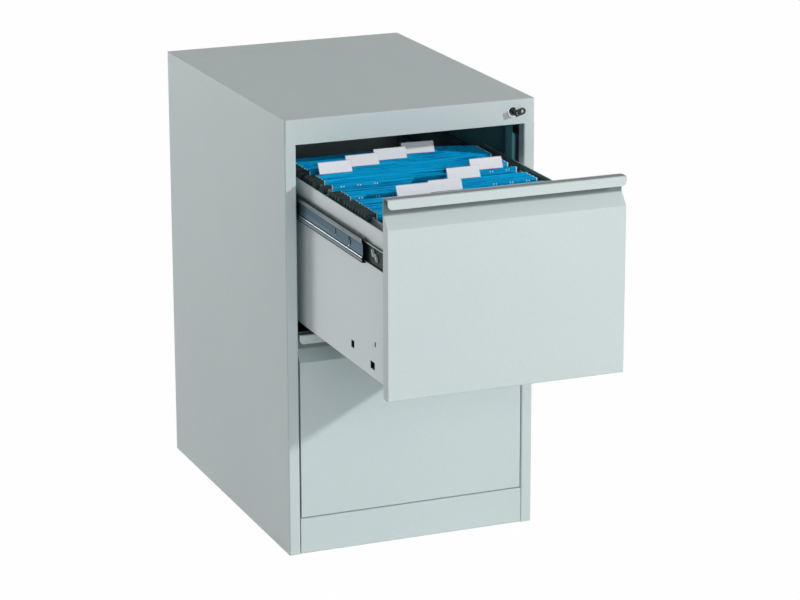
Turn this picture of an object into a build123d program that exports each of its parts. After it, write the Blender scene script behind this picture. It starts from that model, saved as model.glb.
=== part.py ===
from build123d import *
import math
import os

os.makedirs("parts", exist_ok=True)

# A two-drawer steel cabinet for A4 hanging folders, in millimetres, +Z up, its front towards -Y.
# The origin is on the floor under the middle of the carcass. The upper drawer stands part open.

# Carcass
cabinet_depth = 590.0
cabinet_height = 733.0
sheet = 1.0
bend_radius = 2.0
cap_corner_radius = 3.5
stile_width = 19.0
jamb_depth = 20.0
cap_height = 41.0
cap_seam_stop = 37.0
plinth_height = 65.0
plinth_reveal = 1.0
floor_gap = 4.0
rear_return = 16.0
panel_play = 0.5
upright_sheet = 1.2
upright_width = 30.0
front_upright_inset = 45.0
rear_upright_overlap = 48.0
base_flange = 22.0
rivet_diameter = 6.0
rivet_height = 0.8
rivets_each_side = 6

# Levelling feet
pad_diameter = 28.0
pad_height = 6.0
stud_diameter = 8.0
foot_nut_width = 13.0
foot_nut_height = 8.0
foot_inset = 40.0

# Drawer fronts
side_reveal = 2.5
end_reveal = 1.5
front_gap = 2.0
drawer_sheet = 1.0
front_bend_radius = 1.5
flange_depth = 20.0
grip_depth = 17.0
lip_height = 15.0
lip_corner_radius = 8.0
recess_height = 27.0
slant_height = 19.5
upper_opening = 379.0

# Drawer boxes
slide_inset = 0.3
slide_thickness = 12.7
box_floor = 11.0
box_rim = 250.5
hem_height = 10.0
back_flange = 6.0
rail_span = 330.0
hook_room = 18.5
rail_sheet = 1.6
rail_below_rim = 1.0
rail_height = 15.0
rail_end_gap = 3.0
wall_slots = ((90.0, 31.0, 18.0, 12.0), (172.0, 42.0, 13.0, 12.0), (79.0, 67.0, 5.0, 8.0))

# Ball-bearing slides
slide_length = 500.0
slide_level = 208.0
slide_setback = 23.0
slide_sheet = 1.0
slide_bend = 1.4
slide_half_height = 22.7
ball_diameter = 2.2
ball_play = 0.15
cage_sheet = 0.4
outer_cage_space = 1.3
inner_cage_space = 1.6
web_step = 1.5
band_height = 6.5
flange_tip_gap = 2.6
cage_length = 110.0
balls_in_row = 6
ball_hole_play = 0.2
middle_ratio = 0.78
outer_cage_start = 192.0
inner_cage_start = 125.0
lance_place = 112.0
lance_width = 3.0
lance_height = 9.0
hole_place = 66.0
hole_diameter = 3.0
stop_place = 58.0
stop_rise = 2.0
stop_radius = 8.0
stop_height = 0.8
bumper_place = 50.0
bumper_length = 26.0
bumper_height = 15.0
bumper_recess = 0.5

# Lock
lock_from_right = 40.0
rosette_diameter = 18.0
rosette_height = 1.5
barrel_diameter = 15.0
barrel_length = 19.0
plug_diameter = 11.6
plug_play = 0.2
lock_hole_play = 0.2
lock_nut_width = 19.0
lock_nut_height = 4.0
cam_thickness = 1.5
cam_radius = 8.5
cam_pin_diameter = 4.0
bar_lift = 12.0
bar_sheet = 2.0
bar_width = 14.0
bar_jamb_gap = 2.0
bar_play = 0.4
lug_height = 8.0
lug_play = 3.0
catch_level = 120.0
catch_height = 22.0
catch_sheet = 2.0
key_width = 6.0
key_thickness = 2.2
key_reach = 13.0
bow_length = 15.0
bow_width = 11.0
bow_thickness = 2.6
bow_tilt = 15.0
ring_hole_height = 6.0
ring_hole_width = 4.4
key_pin_diameter = 1.4

# Hanging folders
folder_side_gap = 7.5
folder_height = 238.0
folder_sheet = 0.4
folder_above_rail = 7.0
leaf_spread = 5.6
fold_radius = 2.4
folder_pitch = 12.0
folders_start = 134.0
folders_end_gap = 3.2
run_lengths = (8, 4, 1, 4, 8)
run_gap_shares = (7, 15, 11, 9)
hanger_height = 10.0
hanger_sheet = 0.8
hanger_play = 0.4
hanger_shoulder = 2.0
hook_wall_gap = 4.5
hook_drop = 7.0
hook_notch = 2.5
tab_width = 57.0
tab_height = 20.0
tab_sheet = 0.8
tab_lean = 27.0
tab_foot = 6.0
tab_edge_gap = 3.5
tab_column_pitch = 58.0
tabs_at = ((6, 1), (7, 2), (11, 3), (12, 4), (16, 0), (17, 1), (19, 2), (21, 3))

# Planes and levels that the pieces share
box_length = slide_length
box_half = rail_span / 2 + hook_room + drawer_sheet
slide_plane = box_half + slide_thickness
opening_half = slide_plane + slide_inset
half_width = opening_half + stile_width
cabinet_width = 2 * half_width
front_y = -cabinet_depth / 2
back_y = cabinet_depth / 2
cap_bottom = cabinet_height - cap_height
jamb_back = front_y + jamb_depth
front_half = opening_half - side_reveal
front_height = (cap_bottom - plinth_height - 2 * end_reveal - front_gap) / 2
lower_level = plinth_height + end_reveal
upper_level = lower_level + front_height + front_gap
box_start = flange_depth + drawer_sheet
drawers = (("lower", lower_level, 0.0), ("upper", upper_level, upper_opening))
sides = (("left", -1), ("right", 1))


# Construction planes: a plan at a height, a section across the depth, a profile across the width
def plan(height):
    return Plane.XY.offset(height)


def section(depth):
    return Plane.XZ.offset(-depth)


def profile(across):
    return Plane.YZ.offset(across)


def save(piece, name):
    piece.label = name
    export_step(piece, f"parts/{name}.step")


# The section of a sheet that is folded along a line of points
def folded(plane, points, thickness, radius):
    with BuildSketch(plane) as fold:
        with BuildLine():
            FilletPolyline(*points, radius=radius)
        trace(line_width=thickness)
    return fold.sketch


# Side panel: jamb, front stile, side wall and rear return in one sheet, with an ear behind the cap
def side_panel(name, side):
    half = sheet / 2
    outline = [
        (side * (opening_half + half), jamb_back),
        (side * (opening_half + half), front_y + half),
        (side * (half_width - half), front_y + half),
        (side * (half_width - half), back_y - half),
        (side * (half_width - rear_return), back_y - half),
    ]
    ear_top = cabinet_height - sheet
    with BuildPart() as panel:
        extrude(folded(plan(floor_gap), outline, sheet, bend_radius), amount=ear_top - floor_gap)
        with BuildSketch(plan(cap_bottom)):
            with Locations((0, -cap_seam_stop)):
                Rectangle(2 * cabinet_width, cabinet_depth)
        extrude(amount=cap_height, mode=Mode.SUBTRACT)
    save(panel.part, f"{name}_side_panel")


# Top cover: a shallow cap over the carcass, whose front skirt is the fascia that holds the lock
def top_cover():
    lock_x = half_width - lock_from_right
    with BuildPart() as cover:
        with BuildSketch(plan(cap_bottom)):
            Rectangle(cabinet_width, cabinet_depth)
        extrude(amount=cap_height)
        fillet(cover.edges().filter_by(Axis.Z).group_by(Axis.Y)[0], cap_corner_radius)
        fillet(cover.faces().sort_by(Axis.Z)[-1].outer_wire().edges(), bend_radius)
        offset(amount=-sheet, openings=cover.faces().sort_by(Axis.Z)[0])
        with BuildSketch(plan(cap_bottom)):
            with Locations((0, back_y - cap_seam_stop / 2)):
                Rectangle(2 * cabinet_width, cap_seam_stop)
        extrude(amount=cap_height - sheet, mode=Mode.SUBTRACT)
        with BuildSketch(section(back_y - sheet)):
            with Locations((0, cabinet_height - sheet - base_flange / 2)):
                Rectangle(2 * (half_width - rear_return - panel_play), base_flange + sheet)
        extrude(amount=-sheet)
        with BuildSketch(plan(cap_bottom)):
            with Locations((0, front_y + jamb_depth / 2)):
                Rectangle(2 * (half_width - cap_corner_radius), jamb_depth - sheet)
        extrude(amount=sheet)
        with BuildSketch(section(front_y)):
            with Locations((lock_x, cap_bottom + cap_height / 2)):
                Circle(barrel_diameter / 2 + lock_hole_play)
        extrude(amount=-2 * sheet, mode=Mode.SUBTRACT)
    save(cover.part, "top_cover")


# Back panel, held behind the rear returns by rivets
def back_panel():
    panel_top = cabinet_height - sheet - panel_play
    with BuildPart() as panel:
        with BuildSketch(section(back_y - 2 * sheet)):
            with Locations((0, (floor_gap + panel_top) / 2)):
                Rectangle(2 * (half_width - sheet - bend_radius), panel_top - floor_gap)
        extrude(amount=-sheet)
    save(panel.part, "back_panel")

    rivet_x = half_width - rear_return / 2
    rivet_span = cabinet_height - 2 * plinth_height
    with BuildPart() as rivets:
        with BuildSketch(section(back_y)):
            with Locations((0, cabinet_height / 2)):
                with GridLocations(2 * rivet_x, rivet_span / (rivets_each_side - 1), 2, rivets_each_side):
                    Circle(rivet_diameter / 2)
        extrude(amount=-rivet_height)
        fillet(rivets.faces().group_by(Axis.Y)[-1].edges(), rivet_height / 2)
    save(rivets.part, "back_rivets")


# Base panel: the cabinet's floor, with flanges turned down
def base_panel():
    front = jamb_back + panel_play
    back = back_y - 2 * sheet
    reach = half_width - sheet - panel_play
    top = plinth_height - sheet
    with BuildPart() as base:
        with BuildSketch(plan(top - base_flange)):
            with Locations((0, (front + back) / 2)):
                Rectangle(2 * reach, back - front)
        extrude(amount=base_flange)
        with BuildSketch(plan(top - base_flange)):
            with Locations((0, (front + back) / 2)):
                Rectangle(2 * (reach - sheet), back - front - 2 * sheet)
        extrude(amount=base_flange - sheet, mode=Mode.SUBTRACT)
    save(base.part, "base_panel")


# Plinth between the stiles, whose top return rests on the base panel
def plinth():
    half = sheet / 2
    reach = opening_half - plinth_reveal
    outline = [
        (front_y + jamb_depth / 2, floor_gap + half),
        (front_y + half, floor_gap + half),
        (front_y + half, plinth_height - half),
        (jamb_back + jamb_depth / 2, plinth_height - half),
    ]
    with BuildPart() as board:
        extrude(folded(profile(-reach), outline, sheet, bend_radius), amount=2 * reach)
        with BuildSketch(plan(floor_gap + half)):
            with Locations((0, front_y + jamb_depth / 4)):
                with GridLocations(2 * reach - sheet, 0, 2, 1):
                    Rectangle(sheet, jamb_depth / 2 - sheet)
        extrude(amount=plinth_height - floor_gap - sheet)
    save(board.part, "plinth")


# Uprights: folded channels on each side wall, which the slides are fixed to
def uprights(name, side):
    half = upright_sheet / 2
    wall = side * (half_width - sheet)
    face = side * (slide_plane + half)
    foot = plinth_height - sheet
    slide_end = front_y + slide_setback + slide_length
    starts = (front_y + front_upright_inset, slide_end - rear_upright_overlap)
    with BuildPart() as channels:
        for start in starts:
            outline = [
                (wall, start + half),
                (face, start + half),
                (face, start + upright_width - half),
                (wall, start + upright_width - half),
            ]
            extrude(folded(plan(foot), outline, upright_sheet, bend_radius), amount=cap_bottom - foot)
    save(channels.part, f"{name}_uprights")


# Levelling feet with their studs, and the nuts under the base that the studs turn in
def levelling_feet():
    stud_top = plinth_height - 2 * sheet
    spacing = (2 * (half_width - foot_inset), 2 * (back_y - foot_inset), 2, 2)
    with BuildPart() as feet:
        with BuildSketch():
            with GridLocations(*spacing):
                Circle(pad_diameter / 2)
        extrude(amount=pad_height)
        fillet(feet.faces().sort_by(Axis.Z)[-4:].edges(), pad_height / 4)
        with BuildSketch(plan(pad_height)):
            with GridLocations(*spacing):
                Circle(stud_diameter / 2)
        extrude(amount=stud_top - pad_height)
    save(feet.part, "levelling_feet")

    with BuildPart() as nuts:
        with BuildSketch(plan(stud_top - foot_nut_height)):
            with GridLocations(*spacing):
                RegularPolygon(foot_nut_width / 2, 6, major_radius=False)
                Circle(stud_diameter / 2 + ball_play, mode=Mode.SUBTRACT)
        extrude(amount=foot_nut_height)
    save(nuts.part, "foot_nuts")


# Drawer front: one sheet folded into a bottom return, a face, a slant, a recess wall and a grip lip
def drawer_front(drawer, level, face):
    half = drawer_sheet / 2
    top = level + front_height
    bend = top - recess_height - slant_height
    wall = face + grip_depth + half
    back = face + flange_depth
    outline = [
        (back, level + half),
        (face + half, level + half),
        (face + half, bend),
        (wall, top - recess_height),
        (wall, top - half),
        (face + half, top - half),
        (face + half, top - lip_height),
    ]
    cheek = [
        (face + half, level + half),
        (back, level + half),
        (back, top - drawer_sheet),
        (wall, top - drawer_sheet),
        (wall, top - recess_height),
        (face + half, bend),
    ]
    with BuildPart() as front:
        face_section = folded(profile(-front_half), outline, drawer_sheet, front_bend_radius)
        extrude(face_section, amount=2 * front_half)
        for start in (-front_half, front_half - drawer_sheet):
            with BuildSketch(profile(start)):
                Polygon(*cheek, align=None)
            extrude(amount=drawer_sheet)
        lip = front.edges().filter_by(Axis.Y).filter_by_position(
            Axis.Z, top - lip_height - half, top - lip_height + half
        )
        fillet(lip, lip_corner_radius)
    save(front.part, f"{drawer}_drawer_front")

    liner_y = back + half
    liner_outline = [
        (liner_y, level + drawer_sheet),
        (liner_y, top - half),
        (wall + half, top - half),
    ]
    reach = front_half - drawer_sheet - panel_play
    with BuildPart() as liner:
        liner_section = folded(profile(-reach), liner_outline, drawer_sheet, front_bend_radius)
        extrude(liner_section, amount=2 * reach)
    save(liner.part, f"{drawer}_front_liner")


# Drawer box: both walls and the floor folded from one sheet, with hemmed rims and punched slots
def drawer_box(drawer, level, face):
    half = drawer_sheet / 2
    start = face + box_start
    floor = level + box_floor
    rim = level + box_rim
    outline = [
        (-box_half + half, rim),
        (-box_half + half, floor + half),
        (box_half - half, floor + half),
        (box_half - half, rim),
    ]
    with BuildPart() as shell:
        extrude(folded(section(start), outline, drawer_sheet, bend_radius), amount=-box_length)
        with BuildSketch(section(start)):
            with Locations((0, rim - hem_height / 2)):
                with GridLocations(2 * (box_half - drawer_sheet), 0, 2, 1):
                    Rectangle(2 * drawer_sheet, hem_height)
        extrude(amount=-box_length)
        for slot_y, slot_z, slot_length, slot_height in wall_slots:
            with BuildSketch(profile(-2 * box_half)):
                with Locations((face + slot_y, level + slot_z)):
                    Rectangle(slot_length, slot_height)
            extrude(amount=4 * box_half, mode=Mode.SUBTRACT)
    save(shell.part, f"{drawer}_drawer_box")

    end = start + box_length
    back_half = box_half - drawer_sheet - half
    back_foot = floor + drawer_sheet + bend_radius
    back_outline = [
        (-back_half, end),
        (-back_half, end - back_flange + half),
        (back_half, end - back_flange + half),
        (back_half, end),
    ]
    with BuildPart() as back:
        back_section = folded(plan(back_foot), back_outline, drawer_sheet, bend_radius)
        extrude(back_section, amount=rim - hem_height - back_foot)
    save(back.part, f"{drawer}_drawer_back")

    rail_top = rim - rail_below_rim
    rail_foot = rail_top - rail_height + rail_sheet / 2
    rail_start = start + rail_end_gap
    with BuildPart() as rails:
        for name, side in sides:
            rail_outline = [
                (side * (box_half - drawer_sheet), rail_foot),
                (side * rail_span / 2, rail_foot),
                (side * rail_span / 2, rail_top),
            ]
            rail_section = folded(section(rail_start), rail_outline, rail_sheet, rail_sheet)
            extrude(rail_section, amount=-(box_length - rail_end_gap - back_flange))
    save(rails.part, f"{drawer}_folder_rails")


# Slides: a cabinet member, a middle member and a drawer member, nested, with caged balls between
web_line = slide_sheet / 2
cabinet_web = slide_plane - web_line
middle_web = slide_plane - slide_sheet - outer_cage_space - web_line
middle_step = middle_web - web_step
drawer_web = box_half + web_line
drawer_tip = middle_step - web_line - inner_cage_space
outer_cage_web = slide_plane - slide_sheet - outer_cage_space / 2
inner_cage_web = middle_step - web_line - inner_cage_space / 2
flange_tip = box_half + flange_tip_gap
ball_room = ball_diameter + 2 * ball_play
cabinet_half = slide_half_height - web_line
middle_half = cabinet_half - slide_sheet - ball_room
drawer_half = middle_half - slide_sheet - ball_room
outer_ball_level = (cabinet_half + middle_half) / 2
inner_ball_level = (middle_half + drawer_half) / 2
outer_ball_x = (flange_tip + middle_web) / 2
inner_ball_x = (flange_tip + drawer_tip) / 2


# The section of a channel whose web and flange ends stand at two places across the width
def channel(side, level, web, tip, half, thickness, start):
    outline = [
        (side * tip, level - half),
        (side * web, level - half),
        (side * web, level + half),
        (side * tip, level + half),
    ]
    return folded(section(start), outline, thickness, slide_bend)


# Middle member: a channel with a sunk web, a lanced slot, a small hole and a raised stop
def middle_member(name, side, level, start):
    step_end = middle_half - band_height
    step_start = step_end - web_step
    outline = [
        (side * flange_tip, level - middle_half),
        (side * middle_web, level - middle_half),
        (side * middle_web, level - step_end),
        (side * middle_step, level - step_start),
        (side * middle_step, level + step_start),
        (side * middle_web, level + step_end),
        (side * middle_web, level + middle_half),
        (side * flange_tip, level + middle_half),
    ]
    bends = (slide_bend, web_line, web_line, web_line, web_line, slide_bend)
    with BuildPart() as member:
        extrude(folded(section(start), outline, slide_sheet, bends), amount=-slide_length)
        with BuildSketch(profile(side * (middle_step - slide_sheet))):
            with Locations((start + lance_place, level + lance_width)):
                Rectangle(lance_width, lance_height)
            with Locations((start + hole_place, level + step_end + band_height / 2)):
                Circle(hole_diameter / 2)
        extrude(amount=side * 4 * slide_sheet, mode=Mode.SUBTRACT)
        with BuildSketch(profile(side * middle_step)):
            with Locations((start + stop_place, level + stop_rise)):
                Circle(stop_radius)
                Circle(hole_diameter / 2, mode=Mode.SUBTRACT)
            with Locations((start + stop_place + stop_radius, level + stop_rise)):
                Rectangle(stop_radius, 2 * stop_radius, mode=Mode.SUBTRACT)
        extrude(amount=side * (web_line + stop_height))
    save(member.part, name)


# Ball cages: on each side a thin channel with a hole for each ball in both of its flanges
def ball_cages(name, level, web, half, ball_x, start):
    with BuildPart() as cages:
        for side_name, side in sides:
            cage_section = channel(side, level, web, flange_tip, half, cage_sheet, start)
            extrude(cage_section, amount=-cage_length)
        with BuildSketch(plan(level - half - slide_sheet)):
            with Locations((0, start + cage_length / 2)):
                with GridLocations(2 * ball_x, cage_length / balls_in_row, 2, balls_in_row):
                    Circle(ball_diameter / 2 + ball_hole_play)
        extrude(amount=2 * (half + slide_sheet), mode=Mode.SUBTRACT)
    save(cages.part, f"{name}_cages")

    with BuildPart() as balls:
        for row in (level - half, level + half):
            with Locations((0, start + cage_length / 2, row)):
                with GridLocations(2 * ball_x, cage_length / balls_in_row, 2, balls_in_row):
                    Sphere(ball_diameter / 2)
    save(balls.part, f"{name}_balls")


# Both slides of a drawer, their members and cages each as far out as the drawer's opening takes them
def slides(drawer, level, opening):
    axis = level + slide_level
    closed = front_y + slide_setback
    middle_start = closed - middle_ratio * opening
    outer_start = closed + outer_cage_start - middle_ratio / 2 * opening
    inner_start = closed + inner_cage_start - (1 + middle_ratio) / 2 * opening
    drawer_start = front_y + box_start - opening
    for name, side in sides:
        with BuildPart() as fixed_member:
            fixed_section = channel(side, axis, cabinet_web, flange_tip, cabinet_half, slide_sheet, closed)
            extrude(fixed_section, amount=-slide_length)
        save(fixed_member.part, f"{drawer}_{name}_cabinet_member")
        middle_member(f"{drawer}_{name}_middle_member", side, axis, middle_start)
        with BuildPart() as moving_member:
            own_section = channel(side, axis, drawer_web, drawer_tip, drawer_half, slide_sheet, drawer_start)
            extrude(own_section, amount=-slide_length)
        save(moving_member.part, f"{drawer}_{name}_drawer_member")
    with BuildPart() as bumpers:
        for name, side in sides:
            with BuildSketch(profile(side * (drawer_web + web_line))):
                with Locations((drawer_start + bumper_place, axis)):
                    SlotOverall(bumper_length, bumper_height)
            extrude(amount=side * (drawer_tip - drawer_web - web_line - bumper_recess))
    save(bumpers.part, f"{drawer}_slide_bumpers")
    ball_cages(f"{drawer}_outer", axis, outer_cage_web, outer_ball_level, outer_ball_x, outer_start)
    ball_cages(f"{drawer}_inner", axis, inner_cage_web, inner_ball_level, inner_ball_x, inner_start)


# Lock: the housing and nut in the fascia, and the plug, cam and key that turn in it
lock_x = half_width - lock_from_right
lock_z = cap_bottom + cap_height / 2
barrel_back = front_y + barrel_length
cam_back = barrel_back + cam_thickness
bar_front = jamb_back + bar_jamb_gap
bar_x = opening_half + bar_jamb_gap
pin_offset = cam_radius * math.sin(math.radians(45))


def lock():
    bore = plug_diameter / 2 + plug_play
    with BuildPart() as housing:
        with BuildSketch(section(front_y - rosette_height)):
            with Locations((lock_x, lock_z)):
                Circle(rosette_diameter / 2)
        extrude(amount=-rosette_height)
        fillet(housing.faces().sort_by(Axis.Y)[0].edges(), rosette_height / 2)
        with BuildSketch(section(front_y)):
            with Locations((lock_x, lock_z)):
                Circle(barrel_diameter / 2)
        extrude(amount=-barrel_length)
        with BuildSketch(section(front_y - rosette_height)):
            with Locations((lock_x, lock_z)):
                Circle(bore)
        extrude(amount=-rosette_height - barrel_length, mode=Mode.SUBTRACT)
    save(housing.part, "lock_housing")

    with BuildPart() as nut:
        with BuildSketch(section(front_y + sheet)):
            with Locations((lock_x, lock_z)):
                RegularPolygon(lock_nut_width / 2, 6, major_radius=False)
                Circle(barrel_diameter / 2 + ball_play, mode=Mode.SUBTRACT)
        extrude(amount=-lock_nut_height)
    save(nut.part, "lock_nut")

    keyway = key_thickness + 2 * plug_play
    with BuildPart() as plug:
        with BuildSketch(section(front_y - rosette_height / 2)):
            with Locations((lock_x, lock_z)):
                Circle(plug_diameter / 2)
        extrude(amount=-rosette_height / 2 - barrel_length)
        with BuildSketch(section(front_y - rosette_height)):
            with Locations(Location((lock_x, lock_z, 0), (0, 0, 90 + bow_tilt))):
                Rectangle(key_width + 2 * plug_play, keyway)
        extrude(amount=-barrel_length, mode=Mode.SUBTRACT)
    save(plug.part, "lock_plug")

    with BuildPart() as cam:
        with BuildSketch(section(barrel_back)):
            with Locations((lock_x, lock_z)):
                Circle(plug_diameter / 2)
            with Locations((lock_x + pin_offset, lock_z + pin_offset)):
                Circle(cam_pin_diameter)
            make_hull()
        extrude(amount=-cam_thickness)
        with BuildSketch(section(cam_back)):
            with Locations((lock_x + pin_offset, lock_z + pin_offset)):
                Circle(cam_pin_diameter / 2)
        extrude(amount=-(bar_front + 2 * bar_sheet - cam_back))
    save(cam.part, "lock_cam")


# Lock bar: a strip beside the right jamb, with a slotted head for the cam pin and a lug per drawer
def lock_bar():
    head_z = lock_z + pin_offset
    head_half = cam_pin_diameter / 2 + 3.5
    bar_top = head_z + head_half
    lug_tip = box_half + catch_sheet + lug_play
    catch_tops = [level + catch_level + catch_height for drawer, level, opening in drawers]
    bar_bottom = catch_tops[0] - 5 * lug_height
    pin_room = cam_pin_diameter + 2 * ball_play + 1.0
    with BuildPart() as bar:
        with BuildSketch(plan(bar_bottom)):
            with Locations((bar_x + bar_sheet / 2, bar_front + bar_width / 2)):
                Rectangle(bar_sheet, bar_width)
        extrude(amount=bar_top - bar_bottom)
        with BuildSketch(section(bar_front)):
            with Locations(((lock_x + bar_x) / 2, head_z)):
                Rectangle(bar_x - lock_x + 2 * bar_sheet, 2 * head_half)
            with Locations((lock_x + (pin_offset + cam_radius) / 2, head_z)):
                SlotCenterToCenter(cam_radius - pin_offset + 4.0, pin_room, mode=Mode.SUBTRACT)
            for catch_top in catch_tops:
                with Locations((bar_x + bar_sheet, catch_top + lug_play)):
                    Rectangle(bar_x + bar_sheet - lug_tip, lug_height, align=(Align.MAX, Align.MIN))
        extrude(amount=-bar_sheet)
    save(bar.part, "lock_bar")

    guide_height = 12.0
    guide_back = front_y + front_upright_inset
    guide_width = bar_sheet + 2 * (bar_play + bar_jamb_gap)
    guide_levels = (
        bar_bottom,
        (catch_tops[0] + catch_tops[1]) / 2,
        cap_bottom - 2 * guide_height,
    )
    with BuildPart() as guides:
        for guide_level in guide_levels:
            with BuildSketch(plan(guide_level)):
                with Locations((bar_x + bar_sheet / 2, (jamb_back + guide_back) / 2)):
                    Rectangle(guide_width, guide_back - jamb_back)
                with Locations((bar_x + bar_sheet / 2, bar_front + bar_width / 2)):
                    Rectangle(bar_sheet + 2 * bar_play, bar_width + 2 * bar_play, mode=Mode.SUBTRACT)
            extrude(amount=guide_height)
    save(guides.part, "lock_bar_guides")


# Catch: an angle on the right wall of a drawer, which the lowered lug stands in front of
def lock_catch(drawer, level, face):
    half = catch_sheet / 2
    catch_face = face + bar_front - front_y + bar_sheet + bar_jamb_gap + half
    outline = [
        (opening_half - bar_jamb_gap, catch_face),
        (box_half + half, catch_face),
        (box_half + half, catch_face + catch_height),
    ]
    with BuildPart() as catch:
        catch_section = folded(plan(level + catch_level), outline, catch_sheet, catch_sheet)
        extrude(catch_section, amount=catch_height)
    save(catch.part, f"{drawer}_lock_catch")


# Key: a blade in the plug, and a bow on a cross pin, folded flat to the right
def key():
    pivot_y = front_y - key_reach
    blade_end = barrel_length - key_thickness
    tilt = Plane((lock_x, pivot_y, lock_z), x_dir=(1, 0, math.tan(math.radians(bow_tilt))), z_dir=(0, -1, 0))
    across = Plane(tilt.origin, x_dir=tilt.x_dir, z_dir=tilt.y_dir)
    knuckle = bow_thickness
    pin_length = bow_width - 1.0
    with BuildPart() as blade:
        with BuildSketch(section(pivot_y + knuckle)):
            with Locations(Location((lock_x, lock_z, 0), (0, 0, 90 + bow_tilt))):
                Rectangle(key_width, key_thickness)
        extrude(amount=-(key_reach - knuckle + blade_end))
        with BuildSketch(tilt.offset(-knuckle)):
            Rectangle(2 * key_thickness, key_width)
        extrude(amount=knuckle)
        with BuildSketch(across.offset(-key_width / 2)):
            Circle(knuckle / 2)
        extrude(amount=key_width)
        with BuildSketch(across.offset(-pin_length / 2)):
            Circle(key_pin_diameter / 2)
        extrude(amount=pin_length)
    save(blade.part, "key_blade")

    clearance = 0.3
    eye_width = (bow_width - key_width) / 2 - clearance
    with BuildPart() as bow:
        with BuildSketch(tilt.offset(-bow_thickness / 2)):
            with Locations((bow_length / 2 + knuckle, 0)):
                SlotOverall(bow_length, bow_width)
            with Locations((bow_length / 2 + knuckle + 2, 0)):
                SlotOverall(ring_hole_height, ring_hole_width, rotation=90, mode=Mode.SUBTRACT)
            with Locations((knuckle, 0)):
                with GridLocations(0, bow_width - eye_width, 1, 2):
                    Rectangle(2 * knuckle, eye_width)
            with Locations((knuckle / 2 + clearance, 0)):
                Rectangle(knuckle + 2 * clearance, key_width + 2 * clearance, mode=Mode.SUBTRACT)
        extrude(amount=bow_thickness)
        for eye_start in (-bow_width / 2, bow_width / 2 - eye_width):
            with BuildSketch(across.offset(eye_start)):
                Circle(knuckle / 2)
            extrude(amount=eye_width)
        with BuildSketch(across.offset(-bow_width)):
            Circle(key_pin_diameter / 2 + clearance)
        extrude(amount=2 * bow_width, mode=Mode.SUBTRACT)
    save(bow.part, "key_bow")


# Hanging folders in the upper drawer: a board sheet hung over two steel hangers
folder_half = rail_span / 2 - folder_side_gap
hook_half = box_half - drawer_sheet - hook_wall_gap


# The place of every folder's front leaf behind the drawer's face, with the free length in the gaps
def folder_places():
    last = box_start + box_length - back_flange - folders_end_gap - leaf_spread - folder_sheet / 2
    free = last - folders_start - folder_pitch * (sum(run_lengths) - 1)
    places = []
    place = folders_start
    for length, share in zip(run_lengths, run_gap_shares + (0,)):
        for step in range(length):
            places.append(place)
            place += folder_pitch
        place += free * share / sum(run_gap_shares)
    return places


def hanging_folders(name, places, tabs):
    face = front_y - upper_opening
    rail_top = upper_level + box_rim - rail_below_rim
    top = rail_top + folder_above_rail
    bottom = top - folder_height
    half = folder_sheet / 2
    hanger_room = hanger_sheet + folder_sheet + hanger_play
    with BuildPart() as papers:
        for place in places:
            front_leaf = face + place
            back_leaf = front_leaf + leaf_spread
            outline = [
                (front_leaf + hanger_room, top - hanger_height),
                (front_leaf + hanger_room, top - half),
                (front_leaf, top - half),
                (front_leaf, bottom + half),
                (back_leaf, bottom + half),
                (back_leaf, top - half),
                (back_leaf - hanger_room, top - half),
                (back_leaf - hanger_room, top - hanger_height),
            ]
            bends = (half, half, fold_radius, fold_radius, half, half)
            leaf_section = folded(profile(-folder_half), outline, folder_sheet, bends)
            extrude(leaf_section, amount=2 * folder_half)
    save(papers.part, f"{name}_folders")

    hanger_top = top - folder_sheet - hanger_play / 4
    hook_start = rail_span / 2 + hook_notch
    with BuildPart() as hangers:
        for place in places:
            for centre in (hanger_room / 2, leaf_spread - hanger_room / 2):
                with BuildSketch(section(face + place + centre - hanger_sheet / 2)):
                    with Locations((0, hanger_top - hanger_height / 2)):
                        Rectangle(2 * (folder_half + hanger_shoulder), hanger_height)
                    with Locations((0, (hanger_top + rail_top) / 2)):
                        Rectangle(2 * hook_half, hanger_top - rail_top)
                    with Locations((0, rail_top - hook_drop / 2)):
                        with GridLocations(hook_start + hook_half, 0, 2, 1):
                            Rectangle(hook_half - hook_start, hook_drop)
                extrude(amount=-hanger_sheet)
    save(hangers.part, f"{name}_hangers")

    lean = math.radians(tab_lean)
    with BuildPart() as labels:
        for place, column in tabs:
            tab_y = face + place - half - tab_sheet
            left = tab_edge_gap - folder_half + column * tab_column_pitch
            outline = [
                (tab_y, top - tab_foot),
                (tab_y, top + tab_sheet),
                (tab_y + tab_height * math.sin(lean), top + tab_sheet + tab_height * math.cos(lean)),
            ]
            extrude(folded(profile(left), outline, tab_sheet, tab_sheet), amount=tab_width)
    save(labels.part, f"{name}_tabs")


for name, side in sides:
    side_panel(name, side)
    uprights(name, side)
top_cover()
back_panel()
base_panel()
plinth()
levelling_feet()
for drawer, level, opening in drawers:
    drawer_front(drawer, level, front_y - opening)
    drawer_box(drawer, level, front_y - opening)
    slides(drawer, level, opening)
    lock_catch(drawer, level, front_y - opening)
lock()
lock_bar()
key()
places = folder_places()
front_count = run_lengths[0]
front_tabs = [(places[index], column) for index, column in tabs_at if index < front_count]
rear_tabs = [(places[index], column) for index, column in tabs_at if index >= front_count]
hanging_folders("front", places[:front_count], front_tabs)
hanging_folders("rear", places[front_count:], rear_tabs)
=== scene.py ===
import bpy
import bmesh
from math import cos, pi, radians, sin
from mathutils import Euler, Matrix, Vector


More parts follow.
